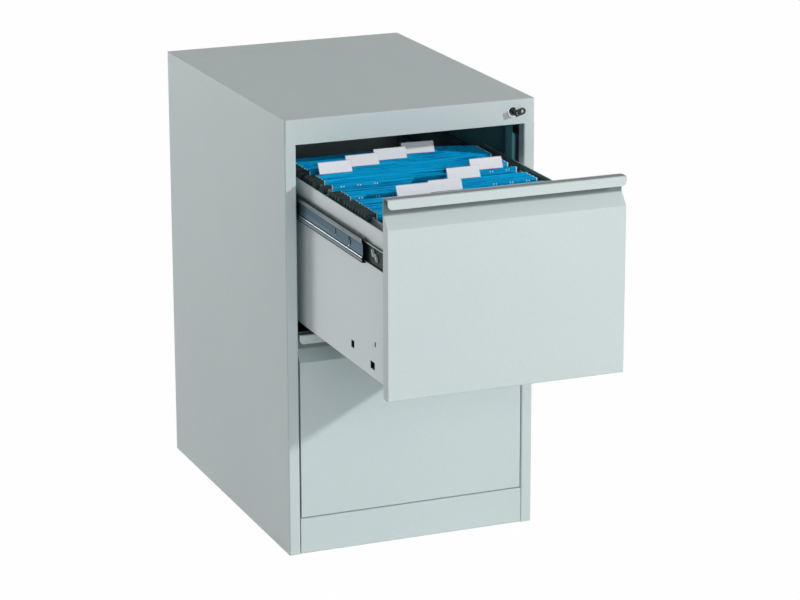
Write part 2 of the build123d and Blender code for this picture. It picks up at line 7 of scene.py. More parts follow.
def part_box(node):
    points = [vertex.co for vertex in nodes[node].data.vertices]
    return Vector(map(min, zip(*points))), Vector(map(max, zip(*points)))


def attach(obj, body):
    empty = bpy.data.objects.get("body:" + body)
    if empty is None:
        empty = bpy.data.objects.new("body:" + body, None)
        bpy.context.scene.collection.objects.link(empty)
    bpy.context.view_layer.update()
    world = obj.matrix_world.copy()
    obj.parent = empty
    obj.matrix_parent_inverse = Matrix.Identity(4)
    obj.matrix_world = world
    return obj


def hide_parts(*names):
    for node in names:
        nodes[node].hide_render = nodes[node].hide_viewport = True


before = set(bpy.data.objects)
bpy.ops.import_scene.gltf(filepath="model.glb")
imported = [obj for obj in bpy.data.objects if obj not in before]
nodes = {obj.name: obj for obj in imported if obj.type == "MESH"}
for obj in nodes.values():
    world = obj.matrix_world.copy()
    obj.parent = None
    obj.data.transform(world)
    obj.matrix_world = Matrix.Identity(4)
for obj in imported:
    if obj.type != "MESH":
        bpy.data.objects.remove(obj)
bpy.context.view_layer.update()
mm = 0.001
white = (1, 1, 1)
print("frame loaded,", len(nodes), "nodes")


# helpers for working on one piece at a time

def deselectAll():
    bpy.ops.object.select_all(action="DESELECT")


def newPiece(name, size):  # sizes the primitive just added, in millimetres, and opens it for editing
    piece = bpy.context.object
    piece.name = name
    piece.data.name = name
    piece.scale = Vector(size) * mm
    bpy.ops.object.transform_apply(location=True, rotation=True, scale=True)
    bpy.ops.object.mode_set(mode="EDIT")
    return piece


def pick(kind, test):  # selects the corners, edges or faces whose middle passes the test
    mesh = bmesh.from_edit_mesh(bpy.context.object.data)
    bpy.ops.mesh.select_mode(type=kind)
    bpy.ops.mesh.select_all(action="DESELECT")
    if kind == "VERT":
        found = [corner for corner in mesh.verts if test(corner.co)]
    elif kind == "EDGE":
        found = [edge for edge in mesh.edges if test((edge.verts[0].co + edge.verts[1].co) / 2)]
    else:
        found = [face for face in mesh.faces if test(face.calc_center_median())]
    for part in found:
        part.select_set(True)
    mesh.select_flush_mode()
    bmesh.update_edit_mesh(bpy.context.object.data)
    return len(found)


def pull(across, deep, high):  # extrudes what is selected by a step in millimetres
    step = (across * mm, deep * mm, high * mm)
    bpy.ops.mesh.extrude_region_move(TRANSFORM_OT_translate={"value": step})


def closePiece(piece, outward=True):
    if outward:
        bpy.ops.mesh.select_all(action="SELECT")
        bpy.ops.mesh.normals_make_consistent(inside=False)
    bpy.ops.object.mode_set(mode="OBJECT")
    return piece


def useModifier(piece, kind, **settings):
    deselectAll()
    piece.select_set(True)
    bpy.context.view_layer.objects.active = piece
    modifier = piece.modifiers.new(kind.title(), kind)
    for setting, value in settings.items():
        setattr(modifier, setting, value)
    bpy.ops.object.modifier_apply(modifier=modifier.name)


def smoothPiece(piece, angle=35):
    deselectAll()
    piece.select_set(True)
    bpy.context.view_layer.objects.active = piece
    bpy.ops.object.shade_smooth_by_angle(angle=radians(angle))


def copyPiece(piece, name, move=(0, 0, 0), turn=0, mirror=False):  # with a mesh of its own
    twin = piece.copy()
    twin.data = piece.data.copy()
    twin.name = name
    bpy.context.scene.collection.objects.link(twin)
    if mirror:
        twin.data.transform(Matrix.Scale(-1, 4, (1, 0, 0)))
        twin.data.flip_normals()
    twin.data.transform(Matrix.Translation(Vector(move)) @ Matrix.Rotation(turn, 4, "Z"))
    return twin


def joinPieces(pieces, name):
    deselectAll()
    for piece in pieces:
        piece.select_set(True)
    bpy.context.view_layer.objects.active = pieces[0]
    bpy.ops.object.join()
    pieces[0].name = name
    pieces[0].data.name = name
    return pieces[0]


def removePieces(*pieces):
    for piece in pieces:
        bpy.data.objects.remove(piece)


def paintPiece(piece, *materials):
    piece.data.materials.clear()
    for material in materials:
        piece.data.materials.append(material)


# each finish is a Principled shader with fields read in Object coordinates

def newFinish(name, colour, roughness, metallic=0.0, **sockets):
    material = bpy.data.materials.new(name)
    material.use_nodes = True
    shader = material.node_tree.nodes["Principled BSDF"]
    shader.inputs["Base Color"].default_value = (*colour, 1)
    shader.inputs["Roughness"].default_value = roughness
    shader.inputs["Metallic"].default_value = metallic
    for socket, value in sockets.items():
        shader.inputs[socket.replace("_", " ")].default_value = value
    return material, material.node_tree, shader


def field(tree, scale, stretch=(1, 1, 1), detail=2.0, rough=0.5, warp=0.0):
    source = tree.nodes.new("ShaderNodeTexCoord")
    mapping = tree.nodes.new("ShaderNodeMapping")
    noise = tree.nodes.new("ShaderNodeTexNoise")
    mapping.inputs["Scale"].default_value = stretch
    noise.inputs["Scale"].default_value = scale
    noise.inputs["Detail"].default_value = detail
    noise.inputs["Roughness"].default_value = rough
    noise.inputs["Distortion"].default_value = warp
    tree.links.new(source.outputs["Object"], mapping.inputs["Vector"])
    tree.links.new(mapping.outputs["Vector"], noise.inputs["Vector"])
    return noise.outputs["Fac"]


def tint(tree, value, low, high, start=0.3, end=0.7):  # colour that runs from low to high with a field
    ramp = tree.nodes.new("ShaderNodeValToRGB")
    ramp.color_ramp.elements[0].position = start
    ramp.color_ramp.elements[1].position = end
    ramp.color_ramp.elements[0].color = (*low, 1)
    ramp.color_ramp.elements[1].color = (*high, 1)
    tree.links.new(value, ramp.inputs["Fac"])
    return ramp.outputs["Color"]


def spread(tree, value, low, high):  # the field as a number between low and high
    fit = tree.nodes.new("ShaderNodeMapRange")
    fit.inputs["From Min"].default_value = 0.3
    fit.inputs["From Max"].default_value = 0.7
    fit.inputs["To Min"].default_value = low
    fit.inputs["To Max"].default_value = high
    tree.links.new(value, fit.inputs["Value"])
    return fit.outputs["Result"]


def multiply(tree, first, second, amount=1.0):
    mix = tree.nodes.new("ShaderNodeMix")
    mix.data_type = "RGBA"
    mix.blend_type = "MULTIPLY"
    mix.inputs["Factor"].default_value = amount
    tree.links.new(first, mix.inputs["A"])
    tree.links.new(second, mix.inputs["B"])
    return mix.outputs["Result"]


def relief(tree, shader, height, strength, depth):
    bump = tree.nodes.new("ShaderNodeBump")
    bump.inputs["Strength"].default_value = strength
    bump.inputs["Distance"].default_value = depth
    tree.links.new(height, bump.inputs["Height"])
    tree.links.new(bump.outputs["Normal"], shader.inputs["Normal"])


# the cabinet's paint
paint = {
    "light": (0.600, 0.672, 0.680),
    "shade": (0.566, 0.640, 0.650),
    "fleck": (0.975, 0.975, 0.975),
    "roughness": (0.47, 0.53),
    "grain": 900.0,
    "grainDepth": 0.00012,
    # painted shade for the drawer fronts' grip recesses
    "grip": (0.26, 0.28, 0.28),
    "drawer": (1.36, 1.32, 1.32),      # painted light: the drawer boxes are painted lighter than the carcass, standing in for the light on their walls
    # painted shade: the drawer boxes' insides are darkened to this teal
    "box": (0.20, 0.36, 0.38),
    "inside": (0.42, 0.98, 1.05),      # painted light: the carcass's inside is tinted darker red and lighter green-blue, standing in for its shade's green-grey cast
}


# painted light: the lift lightens the whole paint, and the zone's tint darkens or recolours a stretch in
# place of shade
def makeBodyPaint(name, paintedLightLift=white, zone=None, paintedLightTint=None):
    light = tuple(value * gain for value, gain in zip(paint["light"], paintedLightLift))
    shade = tuple(value * gain for value, gain in zip(paint["shade"], paintedLightLift))
    material, tree, shader = newFinish(name, light, 0.5, Coat_Weight=0.05, Coat_Roughness=0.35)
    drift = field(tree, 2.2, detail=1.5)
    speck = field(tree, 260.0, detail=2.0)
    colour = tint(tree, drift, shade, light)
    fleck = tint(tree, speck, paint["fleck"], white, 0.35, 0.6)
    colour = multiply(tree, colour, fleck)
    if zone:
        colour = multiply(tree, colour, tint(tree, within(tree, zone), white, paintedLightTint, 0, 1))
    tree.links.new(colour, shader.inputs["Base Color"])
    tree.links.new(spread(tree, field(tree, 35.0), *paint["roughness"]), shader.inputs["Roughness"])
    relief(tree, shader, field(tree, paint["grain"], detail=1.0), 0.5, paint["grainDepth"])
    return material


def within(tree, zone):  # rises from 0 to 1 over each given stretch of an axis, in millimetres
    source = tree.nodes.new("ShaderNodeTexCoord")
    parts = tree.nodes.new("ShaderNodeSeparateXYZ")
    tree.links.new(source.outputs["Object"], parts.inputs["Vector"])
    total = None
    for axis, start, end in zone:
        fit = tree.nodes.new("ShaderNodeMapRange")
        fit.inputs["From Min"].default_value = start * mm
        fit.inputs["From Max"].default_value = end * mm
        tree.links.new(parts.outputs[axis], fit.inputs["Value"])
        if total is None:
            total = fit.outputs["Result"]
            continue
        both = tree.nodes.new("ShaderNodeMath")
        both.operation = "MULTIPLY"
        tree.links.new(total, both.inputs[0])
        tree.links.new(fit.outputs["Result"], both.inputs[1])
        total = both.outputs[0]
    return total


def makeZinc(name, dull, bright, roughness):  # rolled strip, its grain along the slide
    material, tree, shader = newFinish(name, bright, roughness[1], 1.0)
    streak = field(tree, 500.0, (1, 0.02, 1), detail=3.0)
    cloud = field(tree, 30.0, detail=3.0, warp=0.6)
    grain = tint(tree, streak, dull, bright)
    colour = multiply(tree, grain, tint(tree, cloud, (0.8, 0.86, 0.92), white))
    tree.links.new(colour, shader.inputs["Base Color"])
    tree.links.new(spread(tree, streak, *roughness), shader.inputs["Roughness"])
    relief(tree, shader, streak, 0.25, 0.00006)
    return material


def makeMetal(name, low, high, roughness, scale, depth=0.00004):
    material, tree, shader = newFinish(name, high, roughness[0], 1.0)
    smear = field(tree, scale, detail=3.0, warp=0.4)
    scratch = field(tree, scale * 9, (1, 0.12, 1), detail=2.0)
    tree.links.new(tint(tree, smear, low, high), shader.inputs["Base Color"])
    tree.links.new(spread(tree, scratch, *roughness), shader.inputs["Roughness"])
    relief(tree, shader, scratch, 0.15, depth)
    return material


def makePlastic(name, low, high, roughness, grain, depth=0.0001, **sockets):
    material, tree, shader = newFinish(name, high, roughness, **sockets)
    cloud = field(tree, grain / 12, detail=2.0)
    tree.links.new(tint(tree, cloud, low, high), shader.inputs["Base Color"])
    tree.links.new(spread(tree, cloud, roughness - 0.06, roughness + 0.06), shader.inputs["Roughness"])
    relief(tree, shader, field(tree, grain, detail=1.0), 0.35, depth)
    return material


# the folders' dyed board
board = {
    "bright": (0.003, 0.560, 1.000),
    "middle": (0.001, 0.170, 0.450),
    "deep": (0.5, 0.25, 0.22),     # painted shade: darker between the folders, from one height to another
    "from": 631.0,
    "to": 612.0,
    "fibre": (0.70, 0.82, 0.88),
    "blotch": (0.88, 0.92, 0.95),
    "roughness": (0.52, 0.70),
    "grainDepth": 0.00012,
}


def makeFolderBoard():  # fibres, uneven colour along each folder's top whose thin dark lines are painted shade between the folders, and painted shade lower down
    material, tree, shader = newFinish("blueFolderBoard", board["bright"], 0.7, Specular_IOR_Level=0.12)
    streak = field(tree, 60.0, (0.16, 8, 8), detail=4.0, rough=0.7)
    fibre = field(tree, 700.0, (0.35, 1, 1), detail=3.0)
    blotch = field(tree, 14.0, detail=2.0)
    colour = tint(tree, streak, board["middle"], board["bright"], 0.36, 0.56)
    colour = multiply(tree, colour, tint(tree, fibre, board["fibre"], white, 0.35, 0.55))
    colour = multiply(tree, colour, tint(tree, blotch, board["blotch"], white))
    # painted shade deepening downwards between the folders
    deep = within(tree, (("Z", board["from"], board["to"]),))
    colour = multiply(tree, colour, tint(tree, deep, white, board["deep"], 0, 1))
    tree.links.new(colour, shader.inputs["Base Color"])
    tree.links.new(spread(tree, fibre, *board["roughness"]), shader.inputs["Roughness"])
    relief(tree, shader, fibre, 0.4, board["grainDepth"])
    return material


def makeCard():
    material, tree, shader = newFinish("whiteCard", (0.98, 0.97, 1.0), 0.55)
    fibre = field(tree, 900.0, detail=3.0)
    tree.links.new(tint(tree, fibre, (0.96, 0.955, 0.99), (0.99, 0.98, 1.0)), shader.inputs["Base Color"])
    relief(tree, shader, fibre, 0.2, 0.00005)
    return material


def makeClear():
    material, tree, shader = newFinish("clearSleeve", (0.95, 0.95, 1.0), 0.08, Alpha=0.08, IOR=1.46)
    tree.links.new(spread(tree, field(tree, 60.0), 0.05, 0.14), shader.inputs["Roughness"])
    return material


bodyPaint = makeBodyPaint("satinGreyPaint")
paintedShadeBoxZone = (("X", 184.2, 183.8), ("X", -184.2, -183.8))      # painted shade goes between the drawer boxes' walls
drawerPaintLightenedShadedInside = makeBodyPaint("drawerGreyPaintedLightAndShade", paint["drawer"], paintedShadeBoxZone, paint["box"])
paintedTintInsideZone = (      # where the painted tint goes: everything under the carcass's outer faces, from behind the stiles to before the back
    ("X", 216.3, 215.9), ("X", -216.3, -215.9),
    ("Y", -272.0, -262.0), ("Y", 284.0, 276.0), ("Z", 732.4, 732.0),
)
carcassPaintTintedInside = makeBodyPaint("carcassPaintTintedInside", zone=paintedTintInsideZone, paintedLightTint=paint["inside"])
# dull and bright colour, how rough it is from and to, and how fine its grain is
zinc = makeZinc("slideZinc", (0.20, 0.28, 0.33), (0.30, 0.38, 0.44), (0.3, 0.45))
# painted light: darker copies of the zinc for the shaded web and bands, and a brighter copy as a painted
# highlight on edges that catch the light
webZincPaintedShade = makeZinc("blueSlideZincPaintedShade", (0.026, 0.056, 0.078), (0.062, 0.118, 0.150), (0.42, 0.55))
bandZincPaintedHalfShade = makeZinc("greySlideZincPaintedHalfShade", (0.085, 0.115, 0.125), (0.150, 0.190, 0.205), (0.38, 0.5))
edgeZincPaintedHighlight = makeZinc("slideEdgePaintedHighlight", (0.34, 0.39, 0.41), (0.46, 0.52, 0.54), (0.32, 0.44))
cageSteel = makeMetal("pressedCageSteel", (0.30, 0.31, 0.32), (0.42, 0.43, 0.44), (0.35, 0.5), 60.0)
ballSteel = makeMetal("polishedBallSteel", (0.70, 0.71, 0.72), (0.82, 0.82, 0.83), (0.08, 0.16), 300.0)
chrome = makeMetal("lockChrome", (0.62, 0.63, 0.64), (0.78, 0.78, 0.78), (0.08, 0.18), 120.0)
darkFace = makeMetal("darkLockFace", (0.10, 0.10, 0.11), (0.17, 0.17, 0.18), (0.3, 0.45), 200.0)
keyNickel = makeMetal("darkKeyNickel", (0.02, 0.03, 0.03), (0.07, 0.08, 0.08), (0.3, 0.45), 150.0)
hangerSteel = makePlastic("paleHangerStrip", (0.84, 0.88, 0.92), (0.93, 0.95, 0.97), 0.35, 800.0)
hookCoating = makePlastic(
    "darkHookCoating", (0.012, 0.026, 0.027), (0.036, 0.058, 0.058), 0.62, 900.0, Specular_IOR_Level=0.2,
)
footPlastic = makePlastic("blackFootPlastic", (0.012, 0.012, 0.013), (0.028, 0.028, 0.030), 0.5, 700.0)
# grease, made darker still as painted shade on the slides' upper steps
greaseAndPaintedShade = makePlastic(
    "greasedSlideSteelPaintedShade", (0.004, 0.014, 0.013), (0.014, 0.034, 0.032), 0.55, 500.0, Specular_IOR_Level=0.15,
)
# painted shade: a darker copy of the hook coating for the right-hand hooks
innerHookPaintedShade = makePlastic(
    "darkInnerHookPaintedShade", (0.008, 0.020, 0.022), (0.020, 0.042, 0.045), 0.7, 900.0, Specular_IOR_Level=0.1,
)
guidePlastic = makePlastic("blackGuidePlastic", (0.010, 0.011, 0.011), (0.022, 0.024, 0.024), 0.4, 700.0)
latchPlastic = makePlastic("paleLatchPlastic", (0.60, 0.64, 0.64), (0.76, 0.79, 0.79), 0.35, 600.0)
folderBoard = makeFolderBoard()
labelCard = makeCard()
clearSleeve = makeClear()

slotFinish = {
    "body_paint": bodyPaint,
    "zinc": zinc,
    "cage_steel": cageSteel,
    "ball_steel": ballSteel,
    "lock_chrome": chrome,
    "lock_dark": darkFace,
    "key_metal": keyNickel,
    "foot_plastic": footPlastic,
    "bumper_plastic": latchPlastic,
    "guide_plastic": guidePlastic,
    "folder_paper": folderBoard,
    "hanger_steel": hangerSteel,
    "tab_plastic": labelCard,
}
for node in nodes.values():
    for held in node.material_slots:
        held.material = slotFinish[held.name.split(".")[0]]
for name, node in nodes.items():
    if name.endswith(("_box", "_drawer_back")):
        node.material_slots[0].material = drawerPaintLightenedShadedInside
    elif name.endswith(("_side_panel", "_uprights")) or name in ("top_cover", "base_panel"):
        node.material_slots[0].material = carcassPaintTintedInside
fronts = {"upper": (-674.0, 663.5), "lower": (-295.0, 350.5)}      # the face, and the grip recess's foot
# painted shade: each front's grip recess is darkened with the grip colour
for drawer, (face, foot) in fronts.items():
    grip = (("Y", face + 2, face + 4.5), ("Z", foot - 1.5, foot + 1))
    finish = makeBodyPaint(f"{drawer}FrontPaintShadedGrip", zone=grip, paintedLightTint=paint["grip"])
    nodes[f"{drawer}_drawer_front"].material_slots[0].material = finish
print("finishes made,", len(slotFinish))


# hanging folders: a plain and a slotted board are modelled, then copied along the rails
folder = {
    "faceY": -674.0,       # the drawer's face, which every place is measured from
    "width": 315.0,
    "cells": 36,           # steps across the width
    "slotted": 144,        # and on a board whose slots show: a slot is two of them
    "slotEvery": 13,
    "slotCells": (6, 8),
    "slotDown": (2.2, 5.0),
    "slotsAt": (134.0, 146.0, 244.0, 322.0),
    "slotsFrom": 68.0,     # how far from the middle the slots begin
    "top": 636.0,
    "depth": 236.0,
    "leafGap": 5.6,
    "hemDepth": 9.1,
    "board": 0.4,
    "waveSize": 0.045,
    "waveDepth": 0.0016,
    "waveReach": 0.12,
    "straight": ((218.0, 1), (244.0, 0)),      # the leaves that the front group meets as it is pushed back
    "belly": (1.1, 0.9),   # how far the front and the back leaf bow out, more or less
    "runs": {"front": ((134.0, 8),), "rear": ((244.0, 4), (322.0, 1), (356.0, 4), (422.0, 8))},
    "pitch": 12.0,
}
# the front leaf in section, from the hem over the hanger and down: (behind the leaf, below the top)
leafLine = [
    (1.6, 0.9), (1.35, 0.4), (0.8, 0.2), (0.25, 0.4), (0.0, 0.9), (0.0, 2.2), (0.0, 5.0),
    (0.0, 12.0), (0.0, 60.0), (0.0, 150.0), (0.0, 235.4), (0.5, 236.9), (1.6, 237.7), (2.8, 237.8),
]
places = {
    group: [start + folder["pitch"] * step for start, count in runs for step in range(count)]
    for group, runs in folder["runs"].items()
}
riders = {"front": "front_folders", "rear": "upper_drawer"}


def addWaves(piece):  # boards and hangers bow together, most at the top
    group = piece.vertex_groups.new(name="loose")
    top = folder["top"] * mm
    for corner in piece.data.vertices:
        down = (top - corner.co.z) / folder["waveReach"]
        group.add([corner.index], max(0.15, 1 - down), "REPLACE")
    clouds = bpy.data.textures.new("boardWaves", "CLOUDS")
    clouds.noise_scale = folder["waveSize"]
    useModifier(
        piece, "DISPLACE", texture=clouds, texture_coords="GLOBAL", direction="Y",
        strength=folder["waveDepth"], mid_level=0.5, vertex_group="loose",
    )


def belly(x, z):  # 1 in the middle of a folder's top, 0 at its ends and its foot
    across = max(1 - (x / (folder["width"] / 2 * mm)) ** 2, 0)
    down = (folder["top"] * mm - z) / (folder["depth"] * mm)
    return across * max(1 - down * down, 0)


def bellyOut(place, leaf):  # each folder's own bow, forwards for the front leaf and back for the other
    if (place, leaf) in folder["straight"]:
        return 0
    if leaf == 0:
        return -folder["belly"][0] * (1 + sin(place * 1.3)) * mm
    return folder["belly"][1] * (1 + sin(place * 2.1 + 1)) * mm


def bowPiece(piece, place, leaf=None):
    middle = (folder["faceY"] + place + folder["leafGap"] / 2) * mm
    for corner in piece.data.vertices:
        side = leaf if leaf is not None else int(corner.co.y > middle)
        corner.co.y += bellyOut(place, side) * belly(corner.co.x, corner.co.z)


# the last folders stand fanned: from this depth back, and from this far to the right, they come forward
fan = {"start": -252.0, "deep": 84.0, "most": 1.1, "from": 20.0, "reach": 157.0, "shift": 34.0}


def fanRear(piece):
    for corner in piece.data.vertices:
        deep = min(max((corner.co.y / mm - fan["start"]) / fan["deep"], 0), fan["most"])
        side = max((corner.co.x / mm - fan["from"]) / fan["reach"], 0)
        corner.co.y -= fan["shift"] * mm * deep * side * side


def modelBoard(cells, slots):
    line = leafLine + [(folder["leafGap"] - deep, down) for deep, down in reversed(leafLine[:-1])]
    line.append((folder["leafGap"] - leafLine[0][0], leafLine[0][1] + folder["hemDepth"]))
    hemMiddle = folder["top"] - leafLine[0][1] - folder["hemDepth"] / 2
    deselectAll()
    bpy.ops.mesh.primitive_grid_add(
        x_subdivisions=cells, y_subdivisions=1, size=1,
        location=(0, leafLine[0][0] * mm, hemMiddle * mm), rotation=(pi / 2, 0, 0),
    )
    piece = newPiece("folderBoard", (folder["width"], folder["hemDepth"], 1))
    hemTop = (folder["top"] - leafLine[0][1]) * mm
    pick("EDGE", lambda middle: middle.z > hemTop - 0.1 * mm)
    for here, there in zip(line, line[1:]):
        pull(0, there[0] - here[0], here[1] - there[1])
    cell = folder["width"] / cells
    slotTop, slotFoot = ((folder["top"] - down) * mm for down in folder["slotDown"])

    def isSlot(middle):
        index = int((middle.x / mm + folder["width"] / 2) // cell) % folder["slotEvery"]
        onLeaf = min(abs(middle.y), abs(middle.y - folder["leafGap"] * mm)) < 0.1 * mm
        aside = abs(middle.x) > folder["slotsFrom"] * mm
        return onLeaf and aside and slotFoot < middle.z < slotTop and index in folder["slotCells"]

    if slots:
        pick("FACE", isSlot)
        bpy.ops.mesh.delete(type="FACE")
    closePiece(piece)
    useModifier(piece, "SOLIDIFY", thickness=folder["board"] * mm, offset=0)
    smoothPiece(piece, 50)
    paintPiece(piece, folderBoard)
    return piece


plainBoard = modelBoard(folder["cells"], False)
slottedBoard = modelBoard(folder["slotted"], True)
for group in places:
    copies = []
    for place in places[group]:
        model = slottedBoard if place in folder["slotsAt"] else plainBoard
        twin = copyPiece(model, "board", (0, (folder["faceY"] + place) * mm, 0))
        bowPiece(twin, place)
        copies.append(twin)
    boards = joinPieces(copies, f"{group}_folder_boards")
    addWaves(boards)
    fanRear(boards)
    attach(boards, riders[group])
    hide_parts(f"{group}_folders")
removePieces(plainBoard, slottedBoard)
print("folder boards made,", sum(map(len, places.values())))


# hangers: a bright strip in each leaf's hem, with a dark coated hook at both ends; the right-hand hooks are
# darker, painted shade, with pale inner ends as a painted highlight
hanger = {
    "half": 159.5,
    "strip": 0.8,
    "top": 635.5,
    "height": 10.0,
    "neckBelow": 6.4,
    "neckOut": 6.0,
    "offsets": (0.8, 4.8),     # the two strips of a folder, behind its front leaf
    "tipStart": 159.0,
    "left": {"end": 179.0, "top": 635.8, "thick": 2.5},
    "right": {"end": 173.0, "top": 631.6, "thick": 1.6},     # lower and slimmer, as the far rail shows them
    "noseStart": 167.6,
    "noseFoot": 622.2,
    "noseTaper": 2.0,
    "shoulder": 1.6,       # the inner end that grips the strip, and how far it reaches down
    "grip": 3.4,
    "tipBevel": 0.4,
    "tipAbove": 0.5,       # how far above the neck the hook's foot is
    "noseEnd": (0.62, 0.8, 1),
    "noseCrown": (0.8, 0.8, 1),
    "cells": 54,
}


def modelStrip():
    deselectAll()
    bpy.ops.mesh.primitive_grid_add(
        x_subdivisions=hanger["cells"], y_subdivisions=2, size=1, rotation=(pi / 2, 0, 0),
        location=(0, 0, (hanger["top"] - hanger["height"] / 2) * mm),
    )
    piece = newPiece("hangerStrip", (2 * hanger["half"], hanger["height"], 1))
    neckZ = (hanger["top"] - hanger["neckBelow"]) * mm
    middleZ = (hanger["top"] - hanger["height"] / 2) * mm
    pick("VERT", lambda corner: abs(corner.z - middleZ) < 0.1 * mm)
    bpy.ops.transform.translate(value=(0, 0, neckZ - middleZ))
    for side in (-1, 1):
        pick("EDGE", lambda middle: side * middle.x > (hanger["half"] - 0.1) * mm and middle.z > neckZ)
        pull(side * hanger["neckOut"], 0, 0)
    closePiece(piece)
    useModifier(piece, "SOLIDIFY", thickness=hanger["strip"] * mm, offset=0)
    paintPiece(piece, hangerSteel, innerHookPaintedShade)
    for face in piece.data.polygons:
        face.material_index = int(face.center.x > (hanger["tipStart"] - 0.5) * mm)
    return piece


def modelTip(side, finish):  # the hook: a shoulder over the rail and a nose outside it
    size = hanger[side]
    length = size["end"] - hanger["tipStart"]
    foot = hanger["top"] - hanger["neckBelow"] + hanger["tipAbove"]
    high = size["top"] - foot
    shoulder = hanger["tipStart"] + hanger["shoulder"]
    deselectAll()
    bpy.ops.mesh.primitive_cube_add(
        size=1, location=((hanger["tipStart"] + length / 2) * mm, 0, (foot + high / 2) * mm),
    )
    piece = newPiece("hookTip", (length, size["thick"], high))
    for cut in (hanger["noseStart"], shoulder):
        bpy.ops.mesh.select_all(action="SELECT")
        bpy.ops.mesh.bisect(plane_co=(cut * mm, 0, 0), plane_no=(1, 0, 0))
    pick("FACE", lambda middle: middle.z < (foot + 0.1) * mm and middle.x > hanger["noseStart"] * mm)
    pull(0, 0, hanger["noseFoot"] + hanger["noseTaper"] - foot)
    pull(0, 0, -hanger["noseTaper"])
    bpy.ops.transform.resize(value=hanger["noseEnd"])
    pick("FACE", lambda middle: middle.z < (foot + 0.1) * mm and middle.x < shoulder * mm)
    pull(0, 0, -hanger["grip"])
    pick("FACE", lambda middle: middle.x > hanger["noseStart"] * mm and middle.z > (size["top"] - 0.1) * mm)
    bpy.ops.transform.resize(value=hanger["noseCrown"])
    bpy.ops.mesh.select_all(action="SELECT")
    bpy.ops.mesh.bevel(offset=hanger["tipBevel"] * mm, segments=2, affect="EDGES")
    closePiece(piece)
    smoothPiece(piece, 60)
    paintPiece(piece, finish, hangerSteel)
    # painted highlight: the right hooks' inner ends take the pale strip finish
    for face in piece.data.polygons:
        if side == "right" and face.center.x < (hanger["tipStart"] + 0.6) * mm:
            face.material_index = 1
    return piece


stripModel = modelStrip()
leftTip = modelTip("left", hookCoating)
rightTip = modelTip("right", innerHookPaintedShade)
for group in places:
    strips, tips = [], []
    for place in places[group]:
        for leaf, offset in enumerate(hanger["offsets"]):
            deep = (folder["faceY"] + place + offset) * mm
            strip = copyPiece(stripModel, "strip", (0, deep, 0))
            bowPiece(strip, place, leaf)
            strips.append(strip)
            tips.append(copyPiece(rightTip, "tip", (0, deep, 0)))
            tips.append(copyPiece(leftTip, "tip", (0, deep, 0), pi))
    strips = joinPieces(strips, f"{group}_hanger_strips")
    addWaves(strips)
    tips = joinPieces(tips, f"{group}_hanger_hooks")
    for piece in (strips, tips):
        fanRear(piece)
        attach(piece, riders[group])
        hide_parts(f"{group}_hangers")
removePieces(stripModel, leftTip, rightTip)
print("hangers made")


# label tabs: a white card in a clear sleeve that leans back from the folder's front leaf
tab = {
    "width": 57.0,
    "height": 20.0,
    "lean": 27.0,
    "ahead": 1.0,
    "above": 0.8,
    "cells": 19,
    "footCells": (3, 4, 14, 15),      # the sleeve's two feet, and the steps in which they go down
    "footSteps": ((0.1, -0.8), (0.3, -1.0)),
    "card": 0.3,
    "cardMargin": (1.6, 1.4),
    "sleeve": 0.2,
    "sleeveGap": 0.22,
    "firstLeft": -154.0,
    "columnPitch": 58.0,
    "at": {
        "front": ((6, 1), (7, 2)),
        "rear": ((3, 3), (4, 4), (8, 0), (9, 1), (11, 2), (13, 3)),
    },
}


def modelTab():
    lean = radians(tab["lean"])
    rise = Vector((0, sin(lean), cos(lean)))
    out = Vector((0, -cos(lean), sin(lean)))
    start = Vector((0, -tab["ahead"], folder["top"] + tab["above"]))
    middle = start + rise * (tab["height"] / 2)
    deselectAll()
    bpy.ops.mesh.primitive_cube_add(size=1, location=middle * mm, rotation=(-lean, 0, 0))
    narrower, lower = tab["cardMargin"]
    card = newPiece("tabCard", (tab["width"] - narrower, tab["card"], tab["height"] - lower))
    bpy.ops.mesh.bevel(offset=0.08 * mm, segments=1, affect="EDGES")
    closePiece(card)
    paintPiece(card, labelCard)

    front = middle + out * tab["sleeveGap"]
    deselectAll()
    bpy.ops.mesh.primitive_grid_add(
        x_subdivisions=tab["cells"], y_subdivisions=1, size=1,
        location=front * mm, rotation=(pi / 2 - lean, 0, 0),
    )
    sleeve = newPiece("tabSleeve", (tab["width"], tab["height"], 1))
    topEdge = (front + rise * (tab["height"] / 2)).z * mm
    footEdge = (front - rise * (tab["height"] / 2)).z * mm
    pick("EDGE", lambda edge: edge.z > topEdge - 0.1 * mm)
    fold = [rise * 0.2 - out * 0.12, -out * (2 * tab["sleeveGap"] - 0.24), -rise * 0.2 - out * 0.12]
    for step in fold + [-rise * (tab["height"] - 1.0)]:
        pull(*step)

    def isFoot(edge):
        index = int((edge.x / mm + tab["width"] / 2) // (tab["width"] / tab["cells"]))
        return edge.z < footEdge + 0.1 * mm and edge.y < front.y * mm and index in tab["footCells"]

    pick("EDGE", isFoot)
    for deep, high in tab["footSteps"]:
        pull(0, deep, high)
    closePiece(sleeve)
    useModifier(sleeve, "SOLIDIFY", thickness=tab["sleeve"] * mm, offset=0)
    smoothPiece(sleeve, 40)
    paintPiece(sleeve, clearSleeve)
    return card, sleeve


